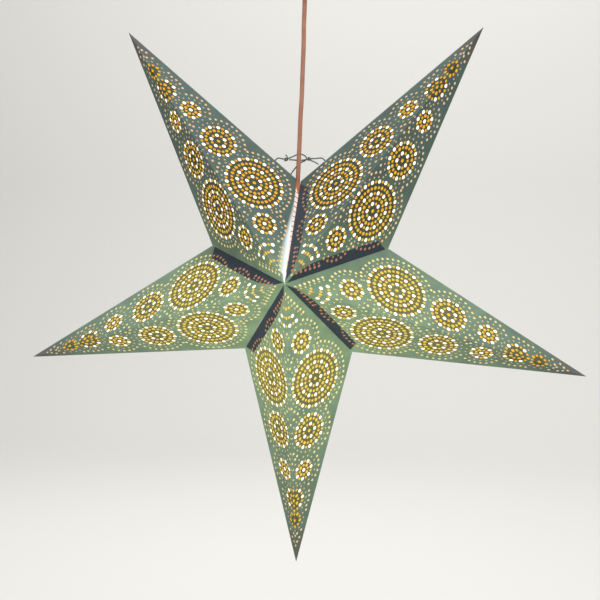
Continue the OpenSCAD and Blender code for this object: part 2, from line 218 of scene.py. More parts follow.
lamp_glow, given, result = new_group(
    "lamp_glow",
    [("Reach", NUMBER, 0.3), ("Shade above", NUMBER, 0.5)],
    [("Glow", NUMBER)],
)
away = lamp_glow.nodes.new("ShaderNodeVectorMath")
away.operation = "SUBTRACT"
wire(lamp_glow, away.inputs[0], own_place(lamp_glow))
away.inputs[1].default_value = LAMP
length = lamp_glow.nodes.new("ShaderNodeVectorMath")
length.operation = "LENGTH"
wire(lamp_glow, length.inputs[0], away.outputs[0])
parts = lamp_glow.nodes.new("ShaderNodeSeparateXYZ")
wire(lamp_glow, parts.inputs[0], away.outputs[0])
distance = length.outputs["Value"]
near = calc(lamp_glow, "SUBTRACT", 1.0, calc(lamp_glow, "DIVIDE", distance, given["Reach"]), True)
height_share = fade(lamp_glow, calc(lamp_glow, "DIVIDE", parts.outputs["Z"], distance), 0.0, 0.9)
shade = calc(lamp_glow, "SUBTRACT", 1.0, calc(lamp_glow, "MULTIPLY", height_share, given["Shade above"]))
wire(lamp_glow, result["Glow"], calc(lamp_glow, "MULTIPLY", near, shade))
print("made the lamp glow group")

# %% [markdown]
# The third shared effect is wear along a fold or an edge. Folding cracks the printed face of a card, so
# pale fibres show in a thin broken line. The group takes the distance from the fold in millimetres.

# %% Shared effect: worn folds
fold_wear, given, result = new_group(
    "fold_wear",
    [("Distance", NUMBER, 10.0), ("Width", NUMBER, 0.8)],
    [("Mask", NUMBER)],
)
line_mask = fade(fold_wear, given["Distance"], given["Width"], 0.1)
broken = fade(fold_wear, noise(fold_wear, own_place(fold_wear), 160.0, 4.0), 0.38, 0.62)
wire(fold_wear, result["Mask"], calc(fold_wear, "MULTIPLY", line_mask, broken))
print("made the fold wear group")


# %% [markdown]
# A helper starts each material: it makes the shader and joins a bump of the right height to it.
# What stays the same all over the surface is set on the shader itself.


# %% Helper for materials
def new_material(name, roughness=0.8, **constants):
    material = bpy.data.materials.new(name)
    material.use_nodes = True
    tree = material.node_tree
    shader = tree.nodes["Principled BSDF"]
    shader.inputs["Roughness"].default_value = roughness
    for label, value in constants.items():
        shader.inputs[label.replace("_", " ")].default_value = value
    return material, tree, shader


def add_bump(tree, shader, height, distance, strength=0.5):
    bump = tree.nodes.new("ShaderNodeBump")
    bump.inputs["Distance"].default_value = distance
    bump.inputs["Strength"].default_value = strength
    wire(tree, bump.inputs["Height"], height)
    wire(tree, shader.inputs["Normal"], bump.outputs["Normal"])


# %% [markdown]
# The lead is a round cable in a salmon-coloured plastic sheath. It runs from the terminal block in the
# ceiling cup down to the lamp holder inside the star, held taut by the lantern's weight, with the slight
# bends that a cable keeps from its packing. It is a swept tube along a smoothed route.

# %% Materials of the lead and the ties
lead_sheath, tree, shader = new_material("lead_sheath", 0.45, Coat_Roughness=0.4)
grain = use_group(tree, paper_grain, Fibre_scale=900.0, Mottle_scale=60.0)
streaks = fade(tree, grain["Tone"], 0.35, 0.65)
wire(tree, shader.inputs["Base Color"], mix_colours(tree, streaks, tint(176, 118, 94), tint(200, 143, 118)))
wire(tree, shader.inputs["Roughness"], calc(tree, "ADD", calc(tree, "MULTIPLY", grain["Tone"], 0.25), 0.35))
add_bump(tree, shader, grain["Height"], 0.00015, 0.3)

string_yarn, tree, shader = new_material("string_yarn", 0.85, Sheen_Weight=0.3)
turn = calc(tree, "MULTIPLY", attribute(tree, "ply"), 2 * math.pi)
ply_height = calc(tree, "SINE", turn)
fuzz = noise(tree, own_place(tree), 2500.0, 3.0)
# painted shade: the yarn is darker in the grooves of the ply bump, over a random fuzz of tone
ply_shade_and_fuzz = calc(tree, "ADD", calc(tree, "MULTIPLY", ply_height, 0.3), fuzz)
wire(tree, shader.inputs["Base Color"], mix_colours(tree, ply_shade_and_fuzz, tint(62, 84, 86), tint(128, 152, 148)))
add_bump(tree, shader, calc(tree, "ADD", ply_height, fuzz), 0.0002, 0.6)
print("made the lead's and the ties' materials")


# %% Helpers for cords
def smooth_route(route, steps):
    p = np.array(route, float)
    p = np.vstack([2 * p[0] - p[1], p, 2 * p[-1] - p[-2]])
    out = []
    for a, b, c, d in zip(p[:-3], p[1:-2], p[2:-1], p[3:]):
        for t in np.arange(steps) / steps:
            bend = (2 * a - 5 * b + 4 * c - d) * t**2 + (3 * b - a - 3 * c + d) * t**3
            out.append(0.5 * (2 * b + (c - a) * t + bend))
    out.append(p[-2])
    return np.array(out)


def sweep(path, radius, sides, ply_depth=0.0, ply_pitch=1.0):
    tangents = np.gradient(path, axis=0)
    tangents /= np.linalg.norm(tangents, axis=1)[:, None]
    along = np.concatenate([[0], np.cumsum(np.linalg.norm(np.diff(path, axis=0), axis=1))])
    side = np.cross(tangents[0], [0.3, 1.0, 0.2])
    points, plies = [], []
    for centre, tangent, distance in zip(path, tangents, along):
        side = side - tangent * (side @ tangent)
        side /= np.linalg.norm(side)
        other = np.cross(tangent, side)
        for k in range(sides):
            angle = 2 * math.pi * k / sides
            ply = angle / math.pi - distance / ply_pitch
            r = radius * (1 - ply_depth * (0.5 - 0.5 * math.cos(2 * math.pi * ply)))
            points.append(centre + r * (math.cos(angle) * side + math.sin(angle) * other))
            plies.append(ply)
    faces = []
    for i in range(len(path) - 1):
        for k in range(sides):
            m = (k + 1) % sides
            faces.append((i * sides + k, i * sides + m, (i + 1) * sides + m, (i + 1) * sides + k))
    last = (len(path) - 1) * sides
    faces.append(tuple(reversed(range(sides))))
    faces.append(tuple(last + k for k in range(sides)))
    return np.array(points), faces, plies


def route_length(path):
    return float(np.linalg.norm(np.diff(path, axis=0), axis=1).sum())


# %% The lead
LEAD_D = 4.5
LEAD_TOP, LEAD_END = -13.5, -267.0
LEAD_ROUTE = [
    (0, 0, LEAD_TOP), (0, 0, -22), (0, 0, -30), (0, 0, -42), (0, 0, -56),
    (-0.5, 0, -72), (-0.5, 0, -90), (-1, 0, -108), (-1.5, 0, -126), (-2, 0, -144),
    (-3, 0, -162), (-3.5, 0, -180), (-4, 0, -196), (-4.5, 0, -210), (-5, 0, -222),
    (-5, 0, -234), (-5, 0, -246), (-5, 0, -258), (-5, 0, LEAD_END),
]
lead_path = smooth_route(LEAD_ROUTE, 4) * MM
points, faces, plies = sweep(lead_path, LEAD_D / 2 * MM, 24)
lead = make_piece("lead_cable", points, faces, [lead_sheath], ["lead"], smooth=True)

# %% [markdown]
# Two strings tie the top points together behind the lead. Each one goes through a hole in its point's outer
# fold, with a stopper knot inside, to a second knot and on behind the lead towards the other string.
# The string has two plies, so its section is pinched and turns along its length. A knot is a trefoil curve
# that is swept the same way, because a plain ball would not show the crossing strands.

# %% The ties
STAR_X, DROP = -3.0, 320.0
STAR = np.array([STAR_X, 0.0, -DROP])
TIE_D = 1.6
TIE_ROUTES = {
    "tie_left": [
        (-28.1, 0, 111.9), (-25.2, 0, 115.3), (-22.2, 0, 117.6), (-18, 0, 117), (-14, 0, 116.5),
        (-9, 0.8, 118.6), (-4.8, 2.6, 120.6), (-1.3, 3.8, 121.7), (2.2, 3.2, 121.2), (4.9, 2.6, 119.8),
        (6, 3.4, 117.6), (4.6, 4.8, 115.6), (1, 5.6, 114), (-3, 5.4, 111), (-7, 5, 106), (-10.6, 4.8, 101),
    ],
    "tie_right": [
        (28.1, 0, 111.9), (25.2, 0, 115.3), (21.6, 0, 117.8), (16, 0, 117.4), (12, 0, 117.2),
        (9.2, 0, 117), (6.4, 1, 116.4), (2.6, 2.7, 115.9), (-1.3, 3.7, 115.7), (-5, 2.6, 115.8),
        (-8.4, 1.4, 116), (-11, 0.6, 116.1),
    ],
}
TIE_KNOTS = {"tie_left": (-14.3, 0, 116.3), "tie_right": (9.2, 0, 117)}
TIE_TAILS = {
    "tie_left": [(-12.4, -0.6, 117.6), (-13.2, -1.4, 119.6), (-14.6, -1.6, 121)],
    "tie_right": [(10.4, 0.2, 115.6), (13, -0.8, 114.6), (16.2, -1.4, 113.2), (18.8, -1.6, 111.4)],
}
KNOT_R, KNOT_SIZE = 0.72, 0.55
KNOT_TURNS = {"stopper": 2.0, "knot": 0.6}
STRING_SIDES, KNOT_SIDES = 12, 10
PLY_DEPTH, KNOT_PLY_DEPTH, PLY_PITCH = 0.3, 0.25, 2.6
TAIL_D = 0.9 * TIE_D


def knot_path(centre, turn):
    """A trefoil curve round the centre."""
    t = np.linspace(0, 2 * math.pi, 49)
    curl = np.stack([
        np.sin(t) + 2 * np.sin(2 * t), 0.9 * np.sin(3 * t), np.cos(t) - 2 * np.cos(2 * t),
    ], axis=1)
    c, s = math.cos(turn), math.sin(turn)
    curl = curl @ np.array([[c, 0, s], [0, 1, 0], [-s, 0, c]]).T
    return np.array(centre) + curl * KNOT_SIZE


for name, route in TIE_ROUTES.items():
    path = (smooth_route(route, 4) + STAR) * MM
    points, faces, plies = sweep(path, TIE_D / 2 * MM, STRING_SIDES, PLY_DEPTH, PLY_PITCH * MM)
    string = make_piece(name + "_string", points, faces, [string_yarn], [name], smooth=True)
    remember(string, "ply", plies)
    for label, centre in (("stopper", route[0]), ("knot", TIE_KNOTS[name])):
        knot_line = (knot_path(centre, KNOT_TURNS[label]) + STAR) * MM
        points, faces, plies = sweep(knot_line, KNOT_R * MM, KNOT_SIDES, KNOT_PLY_DEPTH, PLY_PITCH * MM)
        knot = make_piece(f"{name}_{label}", points, faces, [string_yarn], [], smooth=True)
        remember(knot, "ply", plies)
    tail_line = (smooth_route(TIE_TAILS[name], 4) + STAR) * MM
    points, faces, plies = sweep(tail_line, TAIL_D / 2 * MM, STRING_SIDES, PLY_DEPTH, PLY_PITCH * MM)
    tail = make_piece(name + "_tail", points, faces, [string_yarn], [], smooth=True)
    remember(tail, "ply", plies)
    print(name, round(route_length(path) / MM, 1), "mm long")

# %% [markdown]
# Now the star itself. A point has four flat facets: two in front and two at the back. All of them are the
# same triangle between the peak, the tip and the notch, or its mirror image, so the facet is worked out
# once, as a flat drawing with u along the ridge from the peak and v across it towards the notch.

# %% The facet's frame
TIP_R, NOTCH_R, DEPTH = 300.0, 94.0, 90.0
HALF_ANGLE = math.radians(36)
CARD_T, GLUE_T, TISSUE_T = 0.5, 0.05, 0.2
PEAK_GAP = 0.5

PEAK = np.array([0.0, -DEPTH, 0.0])
TIP = np.array([TIP_R, 0.0, 0.0])
NOTCH = np.array([NOTCH_R * math.cos(HALF_ANGLE), 0.0, NOTCH_R * math.sin(HALF_ANGLE)])
RIDGE_LEN = float(np.linalg.norm(TIP - PEAK))
RIDGE = (TIP - PEAK) / RIDGE_LEN
OUTWARD = np.cross(TIP - PEAK, NOTCH - PEAK)
OUTWARD /= np.linalg.norm(OUTWARD)
ACROSS = np.cross(OUTWARD, RIDGE)
NOTCH_UV = np.array([(NOTCH - PEAK) @ RIDGE, (NOTCH - PEAK) @ ACROSS])
TIP_UV = np.array([RIDGE_LEN, 0.0])
print("facet: ridge", round(RIDGE_LEN, 1), "mm, notch at", NOTCH_UV.round(1).tolist())


# %% Helpers in the flat drawing
def seam_notch(angle):
    """Where a valley at this angle meets the outer fold."""
    slope = math.tan(angle) * RIDGE[0] / (ACROSS[2] - math.tan(angle) * ACROSS[0])
    fold = (TIP_UV - NOTCH_UV) / np.linalg.norm(TIP_UV - NOTCH_UV)
    t = (NOTCH_UV[0] * slope - NOTCH_UV[1]) / (fold[1] - fold[0] * slope)
    return NOTCH_UV + t * fold


def from_line(points, a, b):
    """Distance of points from the line a to b, positive on its left."""
    d = (b - a) / np.linalg.norm(b - a)
    return d[0] * (points[..., 1] - a[1]) - d[1] * (points[..., 0] - a[0])


def inside(points, corners):
    """Which points lie in an outline: a line to the right crosses it an odd number of times."""
    found = np.zeros(len(points), bool)
    for a, b in zip(corners, np.roll(corners, -1, axis=0)):
        if a[1] != b[1]:
            level_at = a[0] + (points[:, 1] - a[1]) * (b[0] - a[0]) / (b[1] - a[1])
            found ^= ((a[1] > points[:, 1]) != (b[1] > points[:, 1])) & (points[:, 0] < level_at)
    return found


# %% [markdown]
# The punched pattern is drawn with rules. A rosette is a set of rings: a large dot and a small one take
# turns round each ring. Dotted borders follow the rosettes and stop where two of them meet. Small chevrons
# lead from the peak to the first rosettes. Five kinds of dot differ in size and in the tissue behind them.

# %% Kinds of dot
DOT_R = {"white": 2.1, "amber": 1.9, "amber_small": 1.6, "peach": 1.5, "peach_small": 1.1}
DOT_SIDES = {"white": 12, "amber": 12, "amber_small": 10, "peach": 10, "peach_small": 8}
DOT_GAP = 0.3
KINDS = list(DOT_R)


def ring(centre, radius, count, first, kind):
    angles = np.radians(first + 360 * np.arange(count) / count)
    return [(centre[0] + radius * math.cos(a), centre[1] + radius * math.sin(a), kind) for a in angles]


def alternate(centre, radius, count, first, kind):
    small = ring(centre, radius, count, first + 180 / count, "amber_small")
    return ring(centre, radius, count, first, kind) + small


# %% Rosettes and flowers
BIG, MEDIUM, SMALL_OUT, SMALL_IN = (110.3, 34.1), (165.2, 24.0), (207.3, 15.2), (64.8, 17.9)
FLOWER, BUD = (237.7, 0.0), (261.8, 0.0)
ROSETTE_R = {BIG: 29.8, MEDIUM: 18.3, SMALL_OUT: 10.2, SMALL_IN: 11.4, FLOWER: 12.6, BUD: 8.2}


BIG_RINGS = [
    (7.5, 5, "white"), (13.0, 9, "amber"), (17.8, 12, "white"), (23.3, 16, "amber"), (29.3, 20, "white"),
]
MEDIUM_RINGS = [(7.4, 5, "white"), (13.1, 9, "amber"), (17.8, 12, "white")]


def rosettes():
    dots = [(*c, "amber") for c in (BIG, MEDIUM, FLOWER, BUD)]
    dots += [(*c, "white") for c in (SMALL_OUT, SMALL_IN)]
    for centre, rings in ((BIG, BIG_RINGS), (MEDIUM, MEDIUM_RINGS)):
        for radius, count, kind in rings:
            dots += alternate(centre, radius, count, 90, kind)
    dots += alternate(SMALL_OUT, 5.4, 4, 45, "amber") + alternate(SMALL_OUT, 9.8, 7, 90, "white")
    dots += alternate(SMALL_IN, 5.6, 4, 45, "amber") + alternate(SMALL_IN, 11.0, 8, 0, "white")
    dots += alternate(FLOWER, 6.2, 4, 45, "amber") + ring(FLOWER, 12.1, 2, 0, "amber")
    dots += [d for k in (45, 90, 135, 225, 270, 315) for d in ring(FLOWER, 12.1, 1, k, "white")]
    dots += ring(FLOWER, 12.1, 8, 22.5, "amber_small")
    dots += ring(BUD, 7.6, 5, 0, "amber") + ring(BUD, 7.6, 5, 36, "amber_small")
    return dots


def chevrons():
    dots = [(25.7, 0.0, "amber"), (25.4, 3.9, "amber_small"), (35.2, 0.0, "amber")]
    dots += [(35.1, 3.9, "amber_small"), (34.9, 8.0, "white")]
    dots += [(43.6, 0.0, "amber_small"), (43.8, 4.3, "white")]
    return dots + [(42.7, 8.6, "amber_small"), (41.2, 12.6, "white")]


# %% Dotted borders and the final choice of dots
BORDERS = [
    (SMALL_IN, (18.0, 18, 0.0), (22.0, 24, 7.5)),
    (BIG, (33.8, 36, 0.0), (38.6, 42, 4.3)),
    (MEDIUM, (22.9, 24, 0.0), (28.0, 29, 0.0)),
    (SMALL_OUT, (15.3, 16, 0.0), (20.2, 22, 0.0)),
    (FLOWER, (16.9, 18, 0.0), (21.4, 24, 7.5)),
    (BUD, (12.4, 13, 0.0), (17.3, 18, 10.0)),
]


def borders():
    dots = []
    for centre, inner, outer in BORDERS:
        rest = [b for b in BORDERS if b[0] != centre]
        rest += [((c[0], -c[1]), i, o) for c, i, o in BORDERS if c[1] > 0]
        for u, v, kind in ring(centre, *inner, "peach_small"):
            if all(math.dist((u, v), c) > i[0] + 1.0 for c, i, o in rest):
                dots.append((u, v, kind))
        for u, v, kind in ring(centre, *outer, "peach"):
            if all(math.dist((u, v), c) > o[0] - 2.0 for c, i, o in rest):
                dots.append((u, v, kind))
    dots += [(10.6 + 4.1 * k, 3.6 * k, "peach") for k in range(7)]
    dots += [(15.9 + 4.15 * k, 3.8 * k, "peach_small") for k in range(6)]
    return dots + [(280.7, 0.0, "peach"), (284.9, 5.8, "peach"), (288.8, 2.7, "peach"), (293.0, 0.6, "peach")]


NEAR_RIDGE, FROM_VALLEY, FROM_FOLD, FROM_SEAM, LAST_DOT = 0.6, 4.0, 3.5, 0.8, 296


def punched_dots(seam_uv):
    """The dots of one facet, as rows of u, v, radius and kind, each clear of those before it."""
    kept = []
    for u, v, kind in rosettes() + chevrons() + borders():
        r = DOT_R[kind]
        if -NEAR_RIDGE < v < NEAR_RIDGE * r:
            v = 0.0
        elif v < r + DOT_GAP:
            v = max(v, r + DOT_GAP) if v > 0 else v
        p = np.array([u, v])
        clear = v >= 0 and from_line(p, np.zeros(2), NOTCH_UV) < -FROM_VALLEY
        clear = clear and from_line(p, TIP_UV, NOTCH_UV) > FROM_FOLD
        clear = clear and from_line(p, np.zeros(2), seam_uv) < -r - FROM_SEAM and u < LAST_DOT
        if clear and all(math.dist((u, v), k[:2]) > r + k[2] + DOT_GAP for k in kept):
            kept.append((u, v, r, kind))
    return kept


print("dots on a plain facet:", len(punched_dots(NOTCH_UV)))

# %% [markdown]
# A flat drawing full of holes is cut into triangles with a constrained Delaunay triangulation: every
# outline goes in as edges that have to stay, and each triangle that comes out is sorted by where its
# middle lies. This gives clean holes without hundreds of slow boolean cuts. Each facet has four regions:
# plain card, card inside a rosette, card doubled by a glued tab, and the dots themselves.

# %% Sides of a point and their strips
TAB_W = 12.5
SEAM_LEFT, SEAM_RIGHT = 3.0, 0.8
TISSUE_MARGIN = 2.2
VALLEY_GAP = 0.05
TIE_REACH, TIE_HOLE_R = 33.0, 1.2
FLAP_W, FLAP_LEAN = 6.0, math.radians(40)
FLAP_START, FLAP_END, FLAP_TAPER = 20.0, 89.0, 7.0
FLAP_FOOT_IN, FLAP_FOOT_ASIDE = 0.05, 0.15
TIP_PLAIN = 19.0
LINING_START = 8.0


def beside_valley(along, away, notch_uv):
    """A point of the facet at a distance along the valley from the peak and a distance in from it."""
    d = notch_uv / np.linalg.norm(notch_uv)
    return d * along + np.array([d[1], -d[0]]) * away


def strip_corners(notch_uv):
    reach = float(np.linalg.norm(notch_uv))
    return np.array([
        beside_valley(2.5, 0.0, notch_uv), beside_valley(11, 6.2, notch_uv),
        beside_valley(30, 11.3, notch_uv), beside_valley(46, TAB_W, notch_uv),
        beside_valley(reach - 15, TAB_W, notch_uv), beside_valley(reach - 4, 0.0, notch_uv),
    ])


def lining_corners(notch_uv, doubled):
    reach = float(np.linalg.norm(notch_uv))
    margin = TAB_W + 0.1 if doubled else TISSUE_MARGIN
    start = beside_valley(10.0, TISSUE_MARGIN, notch_uv)
    if doubled:
        start = beside_valley(16.5, TAB_W, notch_uv)
    far = RIDGE_LEN - TIP_PLAIN
    return np.array([
        (LINING_START, 0.0), (far, 0.0), (far, 40.0), beside_valley(reach + 30, margin, notch_uv), start,
    ])


def tie_hole_corners():
    """Half of the round hole in the outer fold that a tie goes through."""
    along = (TIP_UV - NOTCH_UV) / np.linalg.norm(TIP_UV - NOTCH_UV)
    across = np.array([along[1], -along[0]])
    angles = np.radians([0, 30, 60, 90, 120, 150, 180])
    centre = NOTCH_UV + TIE_REACH * along
    return centre + TIE_HOLE_R * (np.outer(np.cos(angles), along) + np.outer(np.sin(angles), across))


# %% Cutting one facet
class Facet:
    """One side of a point, cut into triangles in the flat drawing."""

    def __init__(self, seam, doubled, tied=False):
        self.notch = seam_notch(HALF_ANGLE - math.asin(seam / NOTCH_R))
        self.dots = punched_dots(self.notch)
        self.doubled = doubled
        self.tie_hole = tie_hole_corners() if tied else None
        gap_uv = self.notch * PEAK_GAP / NOTCH_R
        self.outline = np.array([(PEAK_GAP / RIDGE[0], 0.0), TIP_UV, self.notch, gap_uv])
        self.strip = strip_corners(self.notch)
        self.lining = lining_corners(self.notch, doubled)
        self.cut()
        self.sort()

    def cut(self):
        points, edges = [], []

        def add(chain, closed=True):
            first = len(points)
            points.extend(Vector(p) for p in chain)
            edges.extend((first + k, first + k + 1) for k in range(len(chain) - 1))
            if closed:
                edges.append((first + len(chain) - 1, first))

        def add_circle(u, v, r, sides):
            turn = 2 * math.pi / sides
            angles = turn * np.arange(sides if v else sides // 2 + 1)
            add(np.stack([u + r * np.cos(angles), v + r * np.sin(angles)], axis=1), v > 0)

        add(self.outline)
        add(self.lining)
        if self.doubled:
            add(self.strip)
        if self.tie_hole is not None:
            add(self.tie_hole)
        for (u, v), radius in ROSETTE_R.items():
            add_circle(u, v, radius, 48)
        for u, v, r, kind in self.dots:
            add_circle(u, v, r, DOT_SIDES[kind])
        found = delaunay_2d_cdt(points, edges, [], 0, 1e-5)
        self.points = np.array([tuple(p) for p in found[0]])
        self.points[np.abs(self.points[:, 1]) < 1e-4, 1] = 0.0
        self.triangles = np.array([tuple(f) for f in found[2]])

    def sort(self):
        middle = self.points[self.triangles].mean(axis=1)
        keep = inside(middle, self.outline)
        self.triangles, middle = self.triangles[keep], middle[keep]
        centre = np.array([d[:2] for d in self.dots])
        radius = np.array([d[2] for d in self.dots])
        turn = 2 * math.pi / np.array([DOT_SIDES[d[3]] for d in self.dots])
        offset = middle[:, None, :] - centre[None]
        distance = np.linalg.norm(offset, axis=2)
        bend = (np.arctan2(offset[..., 1], offset[..., 0]) % turn) - turn / 2
        hole = distance * np.cos(bend) < radius * np.cos(turn / 2) - 1e-6
        self.kind = np.array([KINDS.index(d[3]) for d in self.dots])[(distance - radius).argmin(axis=1)]
        self.in_rosette = np.zeros(len(middle), bool)
        for place, size in ROSETTE_R.items():
            self.in_rosette |= np.linalg.norm(middle - np.array(place), axis=1) < size
        self.in_strip = inside(middle, self.strip) if self.doubled else np.zeros(len(middle), bool)
        tied = np.zeros(len(middle), bool)
        if self.tie_hole is not None:
            tied = inside(middle, self.tie_hole)
        self.card = ~(hole.any(axis=1) | tied)
        self.lined = inside(middle, self.lining) & ~tied


FACETS = {
    "plain": Facet(VALLEY_GAP, False),
    "tabbed": Facet(VALLEY_GAP, True),
    "seam_left": Facet(SEAM_LEFT, False, True),
    "seam_right": Facet(SEAM_RIGHT, True, True),
}
for name, facet in FACETS.items():
    print(name, "facet:", len(facet.dots), "dots,", len(facet.triangles), "triangles")

# %% [markdown]
# The flat drawing is now folded into the point. Each flat spot gets a place on the card's face and one on
# its underside, and both are mitred at the ridge and at the outer fold, so that the four facets join into
# one sheet of even thickness. Facets that share a fold share its points, and every free edge gets a wall:
# the edge of each hole, the valley and the small gap at the peak.

# %% Folding the drawing
MITRE_WIDTH = 1.6
SAME_PLACE = 0.004
FIRST_TIP, NEXT_TIP = 126, 72
FOLD_IN = np.array([NOTCH_UV[1] - TIP_UV[1], TIP_UV[0] - NOTCH_UV[0]])
FOLD_IN = -FOLD_IN / np.linalg.norm(FOLD_IN)


def on_facet(uv, depth):
    return PEAK + np.outer(uv[:, 0], RIDGE) + np.outer(uv[:, 1], ACROSS) - depth * OUTWARD


def sink(uv, depth):
    """Places of the drawing's points at a depth under the card's face, mitred at the ridge and the fold."""
    away = from_line(uv, TIP_UV, NOTCH_UV)
    ridge_shift = depth * OUTWARD[2] / ACROSS[2] * np.clip(1 - uv[:, 1] / MITRE_WIDTH, 0, 1)
    fold_tilt = -OUTWARD[1] / math.hypot(OUTWARD[0], OUTWARD[2])
    fold_shift = depth * fold_tilt * np.clip(1 - away / MITRE_WIDTH, 0, 1)
    moved = uv + np.outer(fold_shift, FOLD_IN)
    moved[:, 1] += ridge_shift
    place = on_facet(moved, depth)
    place[np.linalg.norm(uv - TIP_UV, axis=1) < 1e-3] = TIP - np.array([depth / OUTWARD[0], 0, 0])
    place[uv[:, 1] == 0, 2] = 0.0
    place[np.abs(away) < 1e-4, 1] = 0.0
    return place


def into_row(index, places):
    """From a point's own frame, with X towards its tip, to the lantern's frame in metres."""
    angle = math.radians(FIRST_TIP + NEXT_TIP * index)
    c, s = math.cos(angle), math.sin(angle)
    x, y, z = places.T
    return (np.stack([x * c - z * s, y, x * s + z * c], axis=1) + STAR) * MM


def free_edges(triangles):
    """Directed edges that belong to one triangle only."""
    edges = np.concatenate([triangles[:, [0, 1]], triangles[:, [1, 2]], triangles[:, [2, 0]]])
    _, first, count = np.unique(np.sort(edges, axis=1), axis=0, return_index=True, return_counts=True)
    return edges[first[count == 1]]


def around(triangles):
    """The outline of a patch of triangles, as one chain of points."""
    following = {int(a): int(b) for a, b in free_edges(triangles)}
    chain = [next(iter(following))]
    while following[chain[-1]] != chain[0]:
        chain.append(following[chain[-1]])
    return chain


# %% One folded sheet with thickness
def merged(points, on_fold):
    """For each point, the first one in the same place. Only points on a fold are compared."""
    same = np.arange(len(points))
    where = np.flatnonzero(on_fold)
    tree = KDTree(len(where))
    for k in where:
        tree.insert(points[k], int(k))
    tree.balance()
    for k in where:
        same[k] = min(found[1] for found in tree.find_range(points[k], SAME_PLACE))
    return same


def compact(*faces):
    """The points that the faces use, and the faces renumbered to them."""
    used, fresh = np.unique(np.concatenate([f.ravel() for f in faces]), return_inverse=True)
    out, first = [used], 0
    for f in faces:
        out.append(fresh.reshape(-1)[first:first + f.size].reshape(f.shape))
        first += f.size
    return out


def plain_cover(points, triangles):
    """The same patch as the triangles, without its inner points."""
    chain = around(triangles)
    cut = tessellate_polygon([[Vector((*points[k], 0)) for k in chain]])
    cover = np.array([[chain[k] for k in t] for t in cut])
    a, b, c = (points[cover[:, k]] for k in range(3))
    turned = (b - a)[:, 0] * (c - a)[:, 1] - (b - a)[:, 1] * (c - a)[:, 0] < 0
    cover[turned] = cover[turned][:, ::-1]
    return cover


def fold_sheet(sides, top, bottom, pick, label, holed):
    """Folds the picked triangles of both sides, front and back, into one closed sheet.

    Gives its points, faces, the label of each face (the inner faces and the walls have -1 and -2), and
    four distances of each point: from the ridge, the outer fold, the valley and the peak."""
    upper, lower, drawn, skins, unders, labels, first = [], [], [], [], [], [], 0
    for facet, z_side in sides:
        chosen = pick(facet)
        flat = facet.triangles[chosen]
        under = flat if holed else plain_cover(facet.points, flat)
        distances = np.stack([
            facet.points[:, 1], from_line(facet.points, TIP_UV, NOTCH_UV),
            -from_line(facet.points, np.zeros(2), facet.notch), facet.points[:, 0],
        ], axis=1)
        for y_side in (1, -1):
            turn = slice(None) if y_side * z_side > 0 else slice(None, None, -1)
            upper.append(sink(facet.points, top) * [1, y_side, z_side])
            lower.append(sink(facet.points, bottom) * [1, y_side, z_side])
            drawn.append(distances)
            skins.append(flat[:, turn] + first)
            unders.append(under[:, turn] + first)
            labels.append(label(facet)[chosen])
            first += len(facet.points)
    upper, lower, drawn = np.concatenate(upper), np.concatenate(lower), np.concatenate(drawn)
    same = merged(upper, (drawn[:, 0] < 1e-4) | (np.abs(drawn[:, 1]) < 1e-4))
    skin, under = same[np.concatenate(skins)], same[np.concatenate(unders)]
    rim = free_edges(skin)
    walls = np.stack([rim[:, 1], rim[:, 0], rim[:, 0] + first, rim[:, 1] + first], axis=1)
    used, skin, under, walls = compact(skin, under[:, ::-1] + first, walls)
    faces = skin.tolist() + under.tolist() + walls.tolist()
    labels = np.concatenate([*labels, np.full(len(under), -1), np.full(len(walls), -2)])
    return np.concatenate([upper, lower])[used], faces, labels, np.concatenate([drawn, drawn])[used]


# %% [markdown]
# Every point is joined to the next one by a glue tab, a narrow strip that turns back inside the next
# point along the valley. It is seen from outside as a dark band, and its salmon inner face shows dimly
# through the dots. The last point has its tab folded under itself, and the first has a narrow flap that
# leans inwards across the seam. These strips are thin plates that belong to their point's own card.


# %% Strips along a valley
def plate(along, chains):
    """A closed plate between two matching chains of corners, turned so that its faces look outwards."""
    first, last = (np.array(chain) for chain in chains)
    n = len(first)
    faces = [(k, (k + 1) % n, (k + 1) % n + n, k + n) for k in range(n)]
    faces += [tuple(reversed(range(n))), tuple(range(n, 2 * n))]
    points = np.concatenate([first, last])
    centre = points.mean(axis=0)
    volume = 0.0
    for face in faces:
        p = points[list(face)] - centre
        volume += sum(float(np.dot(p[0], np.cross(p[k], p[k + 1]))) for k in range(1, len(face) - 1))
    if volume < 0:
        faces = [tuple(reversed(face)) for face in faces]
    return points, faces, along


def valley_strip(section, notch_uv, y_side):
    """A thin strip along a valley.

    Its section is a chain of corners. Each one names the point of the star and the side of that point
    on which it lies, its distance from the valley, its depth under the card's face, and how far from the
    peak and from the notch the strip ends there."""
    reach = float(np.linalg.norm(notch_uv))
    chains = ([], [])
    for index, z_side, away, depth, start, end in section:
        for chain, along in zip(chains, (start, reach - end)):
            uv = beside_valley(along, away, notch_uv)[None]
            chain.append(into_row(index, on_facet(uv, depth) * [1, y_side, z_side])[0])
    return plate([0.0] * len(section) + [reach] * len(section), chains)


LEAN = float(np.dot(OUTWARD, (-math.sin(HALF_ANGLE), 0, math.cos(HALF_ANGLE))))
LEAN /= math.sqrt(1 - LEAN**2)
STRIP_TOP = CARD_T + 0.06
STRIP_BOTTOM = STRIP_TOP + CARD_T
STRIP_EDGE = TAB_W - 0.3


def tab_section(index):
    """The glue tab starts under its own card, passes the valley and lies under the next card."""
    after = (index + 1) % 5
    low, high = 1.25, 0.62
    return [
        (index, 1, 1.5, 0.3, 3, 4), (index, 1, -LEAN * high, high, 3, 4), (after, -1, 0.0, STRIP_TOP, 3, 4),
        (after, -1, STRIP_EDGE, STRIP_TOP, 16.5, 15), (after, -1, STRIP_EDGE, STRIP_BOTTOM, 16.5, 15),
        (after, -1, 0.0, STRIP_BOTTOM, 3, 4), (index, 1, -LEAN * low, low, 3, 4), (index, 1, 1.5, 1.0, 3, 4),
    ]


